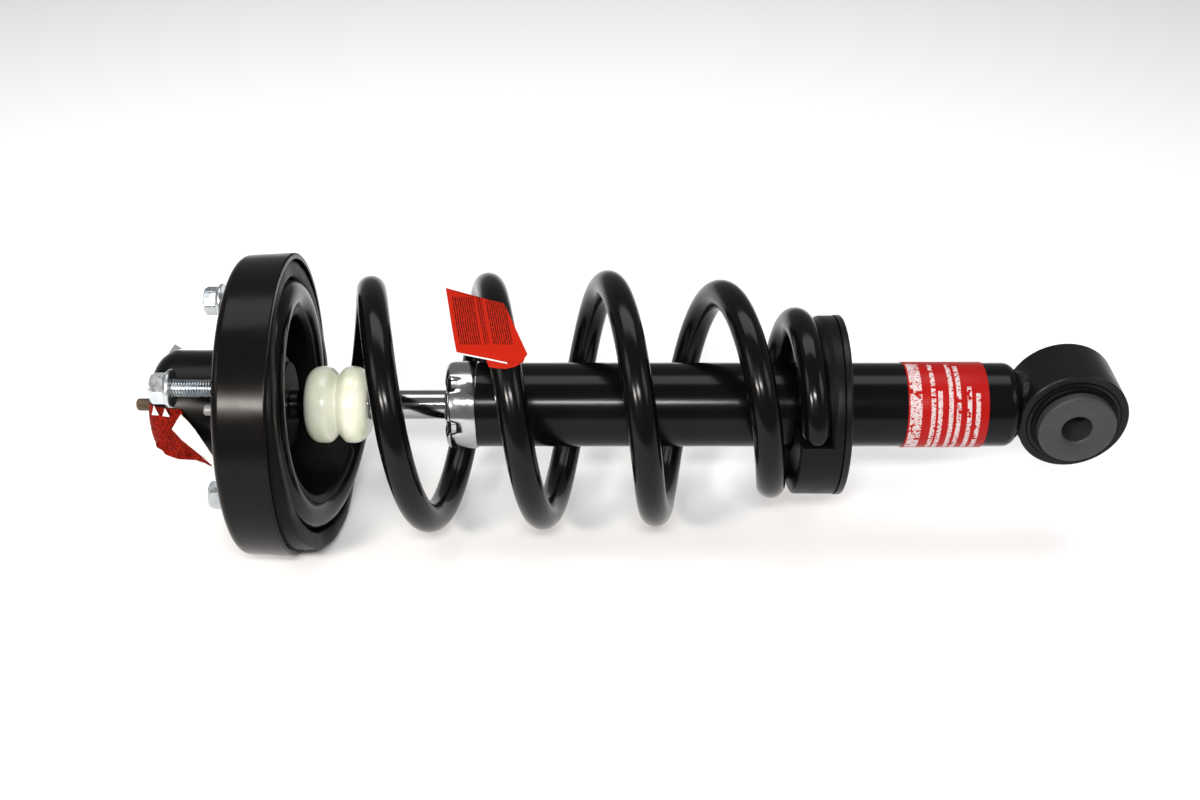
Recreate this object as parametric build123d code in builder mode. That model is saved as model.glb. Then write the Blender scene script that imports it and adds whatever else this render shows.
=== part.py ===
"""Loaded coil-over strut: three-stud upper mount, coil spring, twin-tube damper and lower eye.

Frame, in millimetres: the strut's axis is the X axis and +Z is up. The origin is on the axis
in the upper mount's top face, the face that bolts to the vehicle. The studs point to -X and the
lower eye is at the +X end, with its bore along Y. Angles round the strut are measured about the
X axis from -Y (0 degrees) towards +Z (90 degrees).
"""

from build123d import *
from math import cos, pi, radians, sin
import os

# ---------------------------------------------------------------- driving dimensions
# upper mount
MOUNT_R = 90.0  # outer radius of the cup at its top corner
RIM_R = 91.5  # outer radius of the cup at its open rim
CUP_DEPTH = 31.0  # top face to open rim
CUP_INNER_R = 88.0
PLATE_T = 3.5
STUD_CIRCLE_R = 75.0
STUD_ANGLES = (42.0, 154.5, -94.5)
STUD_R = 5.0  # M10
STUD_END = -36.0
NUT_BEARING = -24.0  # face of each nut that faces the mount
NUT_HEIGHT = 11.5
NUT_ACROSS_FLATS = 16.0
NUT_FLANGE_R = 10.8
DOME_R = 33.0
DOME_END = -53.5
PIN_ANGLE = 33.0
PIN_CIRCLE_R = 80.0

# rod and damper
ROD_R = 8.75
SHANK_R = 6.0  # M12 end of the rod through the mount
TIP_R = 4.0
TIP_END = -67.0
ROD_SHOULDER = 26.0  # where the full rod diameter starts
PISTON_SHOULDER = 157.0
ROD_BOTTOM = 191.0
CAP_START = 121.0
CAP_END = 139.5
CAP_R = 26.5
TUBE_R = 25.4  # two-inch reservoir tube
TUBE_WALL = 2.0
TUBE_START = 123.0
TUBE_END = 454.0
INNER_TUBE_R = 17.5
INNER_TUBE_BORE = 15.5
INNER_TUBE_START = 137.0
INNER_TUBE_END = 436.0
RUN = 0.05  # radial clearance of a sliding fit

# spring
WIRE_R = 8.8
COIL_R = 68.0  # mean radius of the free coils
END_COIL_R = 66.8  # mean radius of the coil that sits in the upper mount

# lower spring seat
SEAT_END = 357.6
SEAT_T = 4.0
SEAT_R = 54.3
STOP_FACE = 328.0  # top of the block that the wire's end stands against

# lower eye
EYE_X = 495.0
EYE_R = 32.6
EYE_BORE = 27.6
EYE_LENGTH = 36.0
HUB_LENGTH = 54.0
HUB_FLANGE_R = 22.9
HUB_CORE_R = 16.0
BOLT_R = 9.0

# labels
LABEL_START = 393.6
LABEL_END = 443.4
PAPER = 0.5


def round_the_axis(radius, degrees):
    """The (Y, Z) of a point at this radius and angle round the strut."""
    return -radius * cos(radians(degrees)), radius * sin(radians(degrees))


def rings(part, x, radius):
    """The circular edges of a part that lie at x with this radius."""
    return part.edges().filter_by(
        lambda e: e.geom_type == GeomType.CIRCLE
        and abs(e.arc_center.X - x) < 0.01
        and abs(e.radius - radius) < 0.01
    )


def across(x):
    """The plane across the strut at x, whose own axes are Y and Z."""
    return Plane.YZ.offset(x)


def save(part, name):
    part.label = name
    export_step(part, f"parts/{name}.step")


os.makedirs("parts", exist_ok=True)

# ---------------------------------------------------------------- upper mount
stud_points = [round_the_axis(STUD_CIRCLE_R, a) for a in STUD_ANGLES]
FLARE_R = DOME_R + 3.5

with BuildPart() as mount_shell:
    with BuildSketch(Plane.XY):
        with BuildLine():
            Polyline(
                (0, FLARE_R),
                (0, MOUNT_R),
                (CUP_DEPTH, RIM_R),
                (CUP_DEPTH, CUP_INNER_R),
                (PLATE_T, CUP_INNER_R),
                (PLATE_T, FLARE_R),
                close=True,
            )
        make_face()
    revolve(axis=Axis.X)
    fillet(rings(mount_shell, 0, MOUNT_R), 5)
    fillet(rings(mount_shell, CUP_DEPTH, RIM_R), 1.2)
    with BuildSketch(across(0)):
        with Locations(*stud_points, round_the_axis(PIN_CIRCLE_R, PIN_ANGLE)):
            Circle(STUD_R)
    extrude(amount=PLATE_T, mode=Mode.SUBTRACT)
save(mount_shell.part, "mount_shell")

DOME_WALL = 2.5
DOME_FLANGE_R = 44.0
with BuildPart() as mount_dome:
    with BuildSketch(Plane.XY):
        with BuildLine():
            Polyline(
                (DOME_END, TIP_R + 2.5),
                (DOME_END, DOME_R),
                (-6, DOME_R),
                (0, FLARE_R),
                (PLATE_T, FLARE_R),
                (PLATE_T, DOME_FLANGE_R),
                (PLATE_T + DOME_WALL, DOME_FLANGE_R),
                (PLATE_T + DOME_WALL, DOME_R - DOME_WALL),
                (DOME_END + DOME_WALL, DOME_R - DOME_WALL),
                (DOME_END + DOME_WALL, TIP_R + 2.5),
                close=True,
            )
        make_face()
    revolve(axis=Axis.X)
    fillet(rings(mount_dome, DOME_END, DOME_R), 14)
    fillet(rings(mount_dome, DOME_END + DOME_WALL, DOME_R - DOME_WALL), 11.5)
save(mount_dome.part, "mount_dome")

PLATE_START = PLATE_T + DOME_WALL
PLATE_END = PLATE_START + 3.0
CORE_PLATE_R = 62.0
CORE_PLATE_BORE = 15.0
with BuildPart() as core_plate:
    with BuildSketch(across(PLATE_START)):
        Circle(CORE_PLATE_R)
        Circle(CORE_PLATE_BORE, mode=Mode.SUBTRACT)
    extrude(amount=PLATE_END - PLATE_START)
    fillet(rings(core_plate, PLATE_END, CORE_PLATE_R), 1.5)
save(core_plate.part, "core_plate")

WASHER_T = 3.0
LOWER_WASHER_R = 26.0
UPPER_WASHER_R = 22.0
SLEEVE_END = -30.0
with BuildPart() as lower_washer:
    with BuildSketch(across(ROD_SHOULDER - WASHER_T)):
        Circle(LOWER_WASHER_R)
        Circle(SHANK_R + RUN, mode=Mode.SUBTRACT)
    extrude(amount=WASHER_T)
    fillet(rings(lower_washer, ROD_SHOULDER, LOWER_WASHER_R), 1.2)
save(lower_washer.part, "lower_washer")

with BuildPart() as upper_washer:
    with BuildSketch(across(SLEEVE_END - WASHER_T)):
        Circle(UPPER_WASHER_R)
        Circle(SHANK_R + RUN, mode=Mode.SUBTRACT)
    extrude(amount=WASHER_T)
save(upper_washer.part, "upper_washer")

SLEEVE_R = 11.0
with BuildPart() as core_sleeve:
    with BuildSketch(across(SLEEVE_END)):
        Circle(SLEEVE_R)
        Circle(SHANK_R + RUN, mode=Mode.SUBTRACT)
    extrude(amount=ROD_SHOULDER - WASHER_T - SLEEVE_END)
save(core_sleeve.part, "core_sleeve")

SNUG = 0.1  # radial gap of a part that fills its housing
UPPER_CUSHION_R = DOME_R - DOME_WALL - SNUG
with BuildPart() as upper_cushion:
    with BuildSketch(across(SLEEVE_END)):
        Circle(UPPER_CUSHION_R)
        Circle(SLEEVE_R + SNUG, mode=Mode.SUBTRACT)
    extrude(amount=PLATE_START - SLEEVE_END)
    fillet(rings(upper_cushion, SLEEVE_END, UPPER_CUSHION_R), 5)
save(upper_cushion.part, "upper_cushion")

LOWER_CUSHION_R = 32.0
LOWER_CUSHION_END = ROD_SHOULDER - WASHER_T
with BuildPart() as lower_cushion:
    with BuildSketch(across(PLATE_END)):
        Circle(LOWER_CUSHION_R)
        Circle(SLEEVE_R + SNUG, mode=Mode.SUBTRACT)
    extrude(amount=LOWER_CUSHION_END - PLATE_END)
    fillet(rings(lower_cushion, LOWER_CUSHION_END, LOWER_CUSHION_R), 5)
save(lower_cushion.part, "lower_cushion")

ROD_NUT_HEIGHT = 10.0
ROD_NUT_ACROSS_FLATS = 18.0
with BuildPart() as rod_nut:
    with BuildSketch(across(SLEEVE_END - WASHER_T - ROD_NUT_HEIGHT)):
        RegularPolygon(ROD_NUT_ACROSS_FLATS / 2, 6, major_radius=False)
        Circle(SHANK_R + RUN, mode=Mode.SUBTRACT)
    extrude(amount=ROD_NUT_HEIGHT)
save(rod_nut.part, "rod_nut")

STUD_HEAD_T = 5.0
STUD_HEAD_R = 9.0
with BuildPart() as mount_studs:
    with BuildSketch(across(STUD_END)):
        with Locations(*stud_points):
            Circle(STUD_R)
    extrude(amount=PLATE_T - STUD_END)
    with BuildSketch(across(PLATE_T)):
        with Locations(*stud_points):
            Circle(STUD_HEAD_R)
    extrude(amount=STUD_HEAD_T)
    chamfer(mount_studs.edges().group_by(Axis.X)[0], 0.8)
save(mount_studs.part, "mount_studs")

NUT_BORE_R = STUD_R + 0.02
FLANGE_T = 2.6
with BuildPart() as stud_nuts:
    with BuildSketch(across(NUT_BEARING - NUT_HEIGHT)):
        with Locations(*stud_points):
            RegularPolygon(NUT_ACROSS_FLATS / 2, 6, major_radius=False)
            Circle(NUT_BORE_R, mode=Mode.SUBTRACT)
    extrude(amount=NUT_HEIGHT)
    with BuildSketch(across(NUT_BEARING - FLANGE_T)):
        with Locations(*stud_points):
            Circle(NUT_FLANGE_R)
            Circle(NUT_BORE_R, mode=Mode.SUBTRACT)
    extrude(amount=FLANGE_T)
save(stud_nuts.part, "stud_nuts")

PIN_END = -5.0
PIN_R = 3.0
with BuildPart() as locating_pin:
    with BuildSketch(across(PIN_END)):
        with Locations(round_the_axis(PIN_CIRCLE_R, PIN_ANGLE)):
            Circle(PIN_R)
    extrude(amount=PLATE_T - PIN_END)
    with BuildSketch(across(0)):
        with Locations(round_the_axis(PIN_CIRCLE_R, PIN_ANGLE)):
            Circle(STUD_R)
    extrude(amount=PLATE_T)
    chamfer(locating_pin.edges().group_by(Axis.X)[0], 0.8)
save(locating_pin.part, "locating_pin")

# ---------------------------------------------------------------- spring
# The wire is a right-hand coil with a close first turn, free turns, and a reduced last turn.
# Turns are counted from TURN_ZERO_ANGLE, the angle at which the wire leaves the upper seat.
TURN_ZERO_ANGLE = 125.0
COIL_TURNS = (
    -0.25, 0.15, 0.3, 0.41, 0.5, 0.694, 1.0, 1.25, 1.5, 1.75, 2.0, 2.25,
    2.5, 2.75, 3.0, 3.25, 3.5, 3.75, 4.0, 4.25, 4.5, 4.75, 5.0, 5.32,
)
COIL_X = (
    25.0, 26.0, 28.0, 32.5, 39.0, 52.0, 74.3, 93.7, 111.2, 128.4, 144.8, 164.4,
    179.3, 195.8, 216.8, 236.8, 246.3, 261.8, 285.3, 307.5, 316.5, 323.0, 330.3, 338.0,
)
# The free coils bow upwards a little, so their radius isn't the same all round.
COIL_RADII = (
    66.8, 66.8, 66.8, 66.8, 66.9, 67.4, 69.4, 68.6, 68.4, 68.8, 71.6, 68.9,
    66.0, 68.8, 73.6, 68.8, 63.8, 67.0, 68.2, 59.0, 45.3, 46.5, 51.0, 47.5,
)


def at_turn(values, turn):
    """A value at a turn, straight between the stations."""
    for (t0, v0), (t1, v1) in zip(
        zip(COIL_TURNS, values), zip(COIL_TURNS[1:], values[1:])
    ):
        if turn <= t1:
            break
    return v0 + (v1 - v0) * (turn - t0) / (t1 - t0)


def coil_point(turn):
    """The wire's centre, with the stations smoothed over a short reach each way."""
    reach = 0.12
    turns = [turn + reach * k / 2 for k in (-2, -1, 0, 1, 2)]
    x = sum(at_turn(COIL_X, t) for t in turns) / 5
    radius = sum(at_turn(COIL_RADII, t) for t in turns) / 5
    y, z = round_the_axis(radius, TURN_ZERO_ANGLE - 360 * turn)
    return x, y, z


STEPS_PER_TURN = 12
FIRST, LAST = COIL_TURNS[0], COIL_TURNS[-1]
STEPS = round((LAST - FIRST) * STEPS_PER_TURN)
coil_points = [coil_point(FIRST + (LAST - FIRST) * n / STEPS) for n in range(STEPS + 1)]

with BuildPart() as coil_spring:
    with BuildLine() as coil_path:
        Spline(*coil_points)
    with BuildSketch(Plane(origin=coil_path.line @ 0, z_dir=coil_path.line % 0)):
        Circle(WIRE_R)
    sweep(path=coil_path.line)
save(coil_spring.part, "coil_spring")

# The rubber seat is a ring whose lip and groove rise round the cup with the wire. The groove has
# a level floor where the wire starts, and a tilted one where it climbs out of the cup.
ISOLATOR_START = PLATE_END + 0.2
RISE_ANGLE = -105.0  # where the ring stands highest
LIP_MIDDLE = 41.0
LIP_SLOPE = 0.12
COLLAR_R = 53.0
HIGH = Vector(0, *round_the_axis(1, RISE_ANGLE))
LIP_PLANE = Plane(origin=(LIP_MIDDLE, 0, 0), z_dir=Vector(1, 0, 0) - HIGH * LIP_SLOPE)
GROOVE_FLOOR = 16.0
GROOVE_MIDDLE = 11.5
GROOVE_SLOPE = 0.42
GROOVE_PLANE = Plane(
    origin=(GROOVE_MIDDLE, 0, 0), z_dir=Vector(1, 0, 0) - HIGH * GROOVE_SLOPE
)
GROOVE_INNER_R = END_COIL_R - WIRE_R - 0.4
GROOVE_OUTER_R = COIL_R + WIRE_R + 1.0
START_WEDGE = (110.0, 163.0, 216.0)  # the angles round the strut where the wire starts

with BuildPart() as climbing_groove:
    with BuildSketch(across(GROOVE_FLOOR)):
        Circle(GROOVE_OUTER_R)
        Circle(GROOVE_INNER_R, mode=Mode.SUBTRACT)
    extrude(amount=2 * CUP_DEPTH)
    split(bisect_by=GROOVE_PLANE, keep=Keep.TOP)

with BuildPart() as level_groove:
    with BuildSketch(across(GROOVE_FLOOR)):
        Circle(GROOVE_OUTER_R)
        Circle(GROOVE_INNER_R, mode=Mode.SUBTRACT)
        with BuildLine():
            Polyline((0, 0), *[round_the_axis(2 * COIL_R, a) for a in START_WEDGE], close=True)
        make_face(mode=Mode.INTERSECT)
    extrude(amount=2 * CUP_DEPTH)

with BuildPart() as upper_isolator:
    with BuildSketch(across(ISOLATOR_START)):
        Circle(CUP_INNER_R - 0.2)
        Circle(COLLAR_R, mode=Mode.SUBTRACT)
    extrude(amount=2 * CUP_DEPTH)
    split(bisect_by=LIP_PLANE, keep=Keep.BOTTOM)
    add(climbing_groove.part, mode=Mode.SUBTRACT)
    add(level_groove.part, mode=Mode.SUBTRACT)
save(upper_isolator.part, "upper_isolator")

# ---------------------------------------------------------------- rod and what rides on it
SHANK_END = -50.0
with BuildPart() as piston_rod:
    with BuildSketch(Plane.XY):
        with BuildLine():
            Polyline(
                (TIP_END, 0),
                (TIP_END, TIP_R - 1.5),
                (TIP_END + 1.5, TIP_R),
                (SHANK_END, TIP_R),
                (SHANK_END, SHANK_R),
                (ROD_SHOULDER, SHANK_R),
                (ROD_SHOULDER, ROD_R),
                (PISTON_SHOULDER, ROD_R),
                (PISTON_SHOULDER, SHANK_R),
                (ROD_BOTTOM, SHANK_R),
                (ROD_BOTTOM, 0),
                close=True,
            )
        make_face()
    revolve(axis=Axis.X)
save(piston_rod.part, "piston_rod")

BUMP_START = 36.5
BUMP_LENGTH = 37.5
BUMP_R = 23.3
with BuildPart() as bump_stop:
    with BuildSketch(Plane.XY):
        with BuildLine():
            Polyline(
                (BUMP_START, ROD_R + 0.3),
                (BUMP_START, 17),
                (BUMP_START + 7, BUMP_R - 0.6),
                (BUMP_START + 14, BUMP_R),
                (BUMP_START + 19, 18.6),
                (BUMP_START + 24, BUMP_R),
                (BUMP_START + 32, BUMP_R - 0.8),
                (BUMP_START + BUMP_LENGTH, 17.5),
                (BUMP_START + BUMP_LENGTH, ROD_R + 0.3),
                close=True,
            )
        make_face()
    revolve(axis=Axis.X)
save(bump_stop.part, "bump_stop")

REBOUND_END = 155.4  # it rests on the rod guide when the strut is fully extended
REBOUND_R = 13.0
REBOUND_LENGTH = 10.0
with BuildPart() as rebound_stop:
    with BuildSketch(across(REBOUND_END - REBOUND_LENGTH)):
        Circle(REBOUND_R)
        Circle(ROD_R + RUN, mode=Mode.SUBTRACT)
    extrude(amount=REBOUND_LENGTH)
    fillet(rings(rebound_stop, REBOUND_END - REBOUND_LENGTH, REBOUND_R), 2)
save(rebound_stop.part, "rebound_stop")

PISTON_LENGTH = 22.0
BAND_LENGTH = 10.0
BAND_START = PISTON_SHOULDER + (PISTON_LENGTH - BAND_LENGTH) / 2
BAND_BORE = 14.2
PORT_R = 1.5
PORT_CIRCLE_R = 10.0
PISTON_NUT_ACROSS_FLATS = 17.0
PISTON_NUT_HEIGHT = 9.0
with BuildPart() as piston:
    with BuildSketch(across(PISTON_SHOULDER)):
        Circle(INNER_TUBE_BORE - 0.4)
        Circle(SHANK_R + RUN, mode=Mode.SUBTRACT)
    extrude(amount=PISTON_LENGTH)
    with BuildSketch(across(BAND_START)):
        Circle(INNER_TUBE_BORE)
        Circle(BAND_BORE, mode=Mode.SUBTRACT)
    extrude(amount=BAND_LENGTH, mode=Mode.SUBTRACT)
    with BuildSketch(across(PISTON_SHOULDER)):
        with PolarLocations(PORT_CIRCLE_R, 8):
            Circle(PORT_R)
    extrude(amount=PISTON_LENGTH, mode=Mode.SUBTRACT)
save(piston.part, "piston")

with BuildPart() as piston_band:
    with BuildSketch(across(BAND_START)):
        Circle(INNER_TUBE_BORE - RUN)
        Circle(BAND_BORE, mode=Mode.SUBTRACT)
    extrude(amount=BAND_LENGTH)
save(piston_band.part, "piston_band")

with BuildPart() as piston_nut:
    with BuildSketch(across(PISTON_SHOULDER + PISTON_LENGTH)):
        RegularPolygon(PISTON_NUT_ACROSS_FLATS / 2, 6, major_radius=False)
        Circle(SHANK_R + RUN, mode=Mode.SUBTRACT)
    extrude(amount=PISTON_NUT_HEIGHT)
save(piston_nut.part, "piston_nut")

# ---------------------------------------------------------------- damper body
CAP_WALL = CAP_R - TUBE_R - 0.05
with BuildPart() as striker_cap:
    with BuildSketch(across(CAP_START)):
        Circle(CAP_R)
        Circle(ROD_R + 2.5, mode=Mode.SUBTRACT)
    extrude(amount=CAP_END - CAP_START)
    with BuildSketch(across(CAP_START + 1.5)):
        Circle(CAP_R - CAP_WALL)
    extrude(amount=CAP_END - CAP_START, mode=Mode.SUBTRACT)
    fillet(rings(striker_cap, CAP_START, CAP_R), 3)
save(striker_cap.part, "striker_cap")

TUBE_BORE = TUBE_R - TUBE_WALL
with BuildPart() as outer_tube:
    with BuildSketch(across(TUBE_START)):
        Circle(TUBE_R)
        Circle(TUBE_BORE, mode=Mode.SUBTRACT)
    extrude(amount=TUBE_END - TUBE_START)
    fillet(rings(outer_tube, TUBE_START, TUBE_R), 1.8)
save(outer_tube.part, "outer_tube")

SEAL_START = 124.0
SEAL_END = 129.0
GUIDE_SPIGOT = 8.0
with BuildPart() as rod_seal:
    with BuildSketch(across(SEAL_START)):
        Circle(TUBE_BORE - 0.05)
        Circle(ROD_R + RUN, mode=Mode.SUBTRACT)
    extrude(amount=SEAL_END - SEAL_START)
save(rod_seal.part, "rod_seal")

with BuildPart() as rod_guide:
    with BuildSketch(across(SEAL_END)):
        Circle(TUBE_BORE - 0.05)
        Circle(ROD_R + RUN, mode=Mode.SUBTRACT)
    extrude(amount=INNER_TUBE_START - SEAL_END)
    with BuildSketch(across(INNER_TUBE_START)):
        Circle(INNER_TUBE_BORE - 0.05)
        Circle(ROD_R + RUN, mode=Mode.SUBTRACT)
    extrude(amount=GUIDE_SPIGOT)
save(rod_guide.part, "rod_guide")

with BuildPart() as inner_tube:
    with BuildSketch(across(INNER_TUBE_START)):
        Circle(INNER_TUBE_R)
        Circle(INNER_TUBE_BORE, mode=Mode.SUBTRACT)
    extrude(amount=INNER_TUBE_END - INNER_TUBE_START)
save(inner_tube.part, "inner_tube")

VALVE_LENGTH = 8.0
with BuildPart() as foot_valve:
    with BuildSketch(across(INNER_TUBE_END - VALVE_LENGTH)):
        Circle(INNER_TUBE_BORE - 0.05)
    extrude(amount=VALVE_LENGTH)
    with BuildSketch(across(INNER_TUBE_END)):
        Circle(INNER_TUBE_R)
    extrude(amount=VALVE_LENGTH)
    with BuildSketch(across(INNER_TUBE_END - VALVE_LENGTH)):
        with PolarLocations(PORT_CIRCLE_R, 6):
            Circle(PORT_R)
    extrude(amount=2 * VALVE_LENGTH, mode=Mode.SUBTRACT)
save(foot_valve.part, "foot_valve")

EYE_PLANE = Plane(origin=(EYE_X, -EYE_LENGTH / 2, 0), x_dir=(1, 0, 0), z_dir=(0, 1, 0))
CAP_PLUG_START = INNER_TUBE_END + VALVE_LENGTH
BASE_END = 463.2
with BuildPart() as base_cap:
    with BuildSketch(across(CAP_PLUG_START)):
        Circle(TUBE_BORE - 0.05)
    extrude(amount=TUBE_END - CAP_PLUG_START)
    with BuildSketch(across(TUBE_END)):
        Circle(TUBE_R)
    extrude(amount=BASE_END - TUBE_END)
    fillet(rings(base_cap, BASE_END, TUBE_R), 8)
    with BuildSketch(EYE_PLANE):
        Circle(EYE_R)
    extrude(amount=2 * EYE_LENGTH, both=True, mode=Mode.SUBTRACT)
save(base_cap.part, "base_cap")

SEAT_FACE = SEAT_END - SEAT_T
SEAT_HUB_R = 28.0
SEAT_HUB_START = 342.0
with BuildPart() as lower_spring_seat:
    with BuildSketch(across(SEAT_FACE)):
        Circle(SEAT_R)
        Circle(TUBE_R, mode=Mode.SUBTRACT)
    extrude(amount=SEAT_T)
    fillet(rings(lower_spring_seat, SEAT_END, SEAT_R), 1.5)
    with BuildSketch(across(SEAT_HUB_START)):
        Circle(SEAT_HUB_R)
        Circle(TUBE_R, mode=Mode.SUBTRACT)
    extrude(amount=SEAT_FACE - SEAT_HUB_START)
save(lower_spring_seat.part, "lower_spring_seat")

# The lower rubber seat rises round the tube under the last coil, and ends in a tall block
# that the end of the wire stands against.
ISOLATOR_R = 53.8
RAMP_LOW_ANGLE = 35.0
RAMP_MIDDLE = 342.6
STOP_FROM = 7.0
STOP_SWEEP = 85.0
LOW = Vector(0, *round_the_axis(1, RAMP_LOW_ANGLE))
RAMP_PLANE = Plane(origin=(RAMP_MIDDLE, 0, 0), z_dir=Vector(1, 0, 0) - LOW * 0.1)

with BuildPart() as lower_isolator:
    with BuildSketch(across(STOP_FACE)):
        Circle(ISOLATOR_R)
        Circle(SEAT_HUB_R + SNUG, mode=Mode.SUBTRACT)
    extrude(amount=SEAT_FACE - STOP_FACE)
    split(bisect_by=RAMP_PLANE, keep=Keep.TOP)
    with BuildSketch(across(STOP_FACE)):
        with BuildLine():
            first = round_the_axis(SEAT_HUB_R + SNUG, STOP_FROM)
            second = round_the_axis(ISOLATOR_R, STOP_FROM)
            middle = round_the_axis(ISOLATOR_R, STOP_FROM - STOP_SWEEP / 2)
            third = round_the_axis(ISOLATOR_R, STOP_FROM - STOP_SWEEP)
            fourth = round_the_axis(SEAT_HUB_R + SNUG, STOP_FROM - STOP_SWEEP)
            inside = round_the_axis(SEAT_HUB_R + SNUG, STOP_FROM - STOP_SWEEP / 2)
            Line(first, second)
            ThreePointArc(second, middle, third)
            Line(third, fourth)
            ThreePointArc(fourth, inside, first)
        make_face()
    extrude(amount=SEAT_FACE - STOP_FACE)
save(lower_isolator.part, "lower_isolator")

# ---------------------------------------------------------------- lower eye
with BuildPart() as lower_eye:
    with BuildSketch(EYE_PLANE):
        Circle(EYE_R)
        Circle(EYE_BORE, mode=Mode.SUBTRACT)
    extrude(amount=EYE_LENGTH)
    chamfer(lower_eye.edges().filter_by(GeomType.CIRCLE), 0.6)
save(lower_eye.part, "lower_eye")

WELD_START = 461.0
WELD_END = 471.0
WELD_R = 18.5
with BuildPart() as eye_weld:
    with BuildSketch(across(WELD_START)):
        Circle(WELD_R)
    extrude(amount=WELD_END - WELD_START, taper=-12)
    add(base_cap.part, mode=Mode.SUBTRACT)
    with BuildSketch(EYE_PLANE):
        Circle(EYE_R)
    extrude(amount=2 * EYE_LENGTH, both=True, mode=Mode.SUBTRACT)
save(eye_weld.part, "eye_weld")

SHELL_LENGTH = 37.0
SHELL_BORE = 25.6
with BuildPart() as bushing_shell:
    with BuildSketch(EYE_PLANE.offset((EYE_LENGTH - SHELL_LENGTH) / 2)):
        Circle(EYE_BORE - 0.02)
        Circle(SHELL_BORE, mode=Mode.SUBTRACT)
    extrude(amount=SHELL_LENGTH)
save(bushing_shell.part, "bushing_shell")

HUB_HALF = HUB_LENGTH / 2
FLANGE_INNER = 20.5
with BuildPart() as bushing_hub:
    with BuildSketch(Plane.XY):
        with BuildLine():
            Polyline(
                (EYE_X + BOLT_R, -HUB_HALF),
                (EYE_X + HUB_FLANGE_R - 1, -HUB_HALF),
                (EYE_X + HUB_FLANGE_R, -HUB_HALF + 1),
                (EYE_X + HUB_FLANGE_R, -FLANGE_INNER),
                (EYE_X + HUB_CORE_R, -FLANGE_INNER),
                (EYE_X + HUB_CORE_R, FLANGE_INNER),
                (EYE_X + HUB_FLANGE_R, FLANGE_INNER),
                (EYE_X + HUB_FLANGE_R, HUB_HALF - 1),
                (EYE_X + HUB_FLANGE_R - 1, HUB_HALF),
                (EYE_X + BOLT_R, HUB_HALF),
                close=True,
            )
        make_face()
    revolve(axis=Axis((EYE_X, 0, 0), (0, 1, 0)))
save(bushing_hub.part, "bushing_hub")

RUBBER_HALF = 20.0
with BuildPart() as bushing_rubber:
    with BuildSketch(Plane.XY):
        with BuildLine():
            Polyline(
                (EYE_X + HUB_CORE_R + RUN, -RUBBER_HALF),
                (EYE_X + HUB_FLANGE_R - 1, -RUBBER_HALF),
                (EYE_X + SHELL_BORE - 0.05, -SHELL_LENGTH / 2 + 1),
                (EYE_X + SHELL_BORE - 0.05, SHELL_LENGTH / 2 - 1),
                (EYE_X + HUB_FLANGE_R - 1, RUBBER_HALF),
                (EYE_X + HUB_CORE_R + RUN, RUBBER_HALF),
                close=True,
            )
        make_face()
    revolve(axis=Axis((EYE_X, 0, 0), (0, 1, 0)))
save(bushing_rubber.part, "bushing_rubber")

# ---------------------------------------------------------------- labels and tags
with BuildPart() as tube_label:
    with BuildSketch(across(LABEL_START)):
        Circle(TUBE_R + 0.02 + PAPER)
        Circle(TUBE_R + 0.02, mode=Mode.SUBTRACT)
    extrude(amount=LABEL_END - LABEL_START)
save(tube_label.part, "tube_label")

TAG_START = 124.5
TAG_END = 172.0
TAG_R = COIL_R + WIRE_R + 3.2
TAG_FROM = 50.0
TAG_TO = 98.0
with BuildPart() as coil_tag:
    with BuildSketch(across(TAG_START)):
        with BuildLine():
            TAG_MIDDLE = (TAG_FROM + TAG_TO) / 2
            inner = [round_the_axis(TAG_R, a) for a in (TAG_FROM, TAG_MIDDLE, TAG_TO)]
            outer = [
                round_the_axis(TAG_R + PAPER, a) for a in (TAG_FROM, TAG_MIDDLE, TAG_TO)
            ]
            ThreePointArc(*inner)
            Line(inner[2], outer[2])
            ThreePointArc(*outer)
            Line(outer[0], inner[0])
        make_face()
    extrude(amount=TAG_END - TAG_START)
save(coil_tag.part, "coil_tag")

ROD_TAG_X = -60.5
ROD_TAG_R = 11.0
with BuildPart() as rod_tag:
    with BuildSketch(across(ROD_TAG_X)):
        Circle(ROD_TAG_R)
        Circle(TIP_R + SNUG, mode=Mode.SUBTRACT)
    extrude(amount=PAPER)
save(rod_tag.part, "rod_tag")
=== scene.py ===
import math
import random

import bmesh
import bpy
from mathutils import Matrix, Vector, noise


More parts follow.
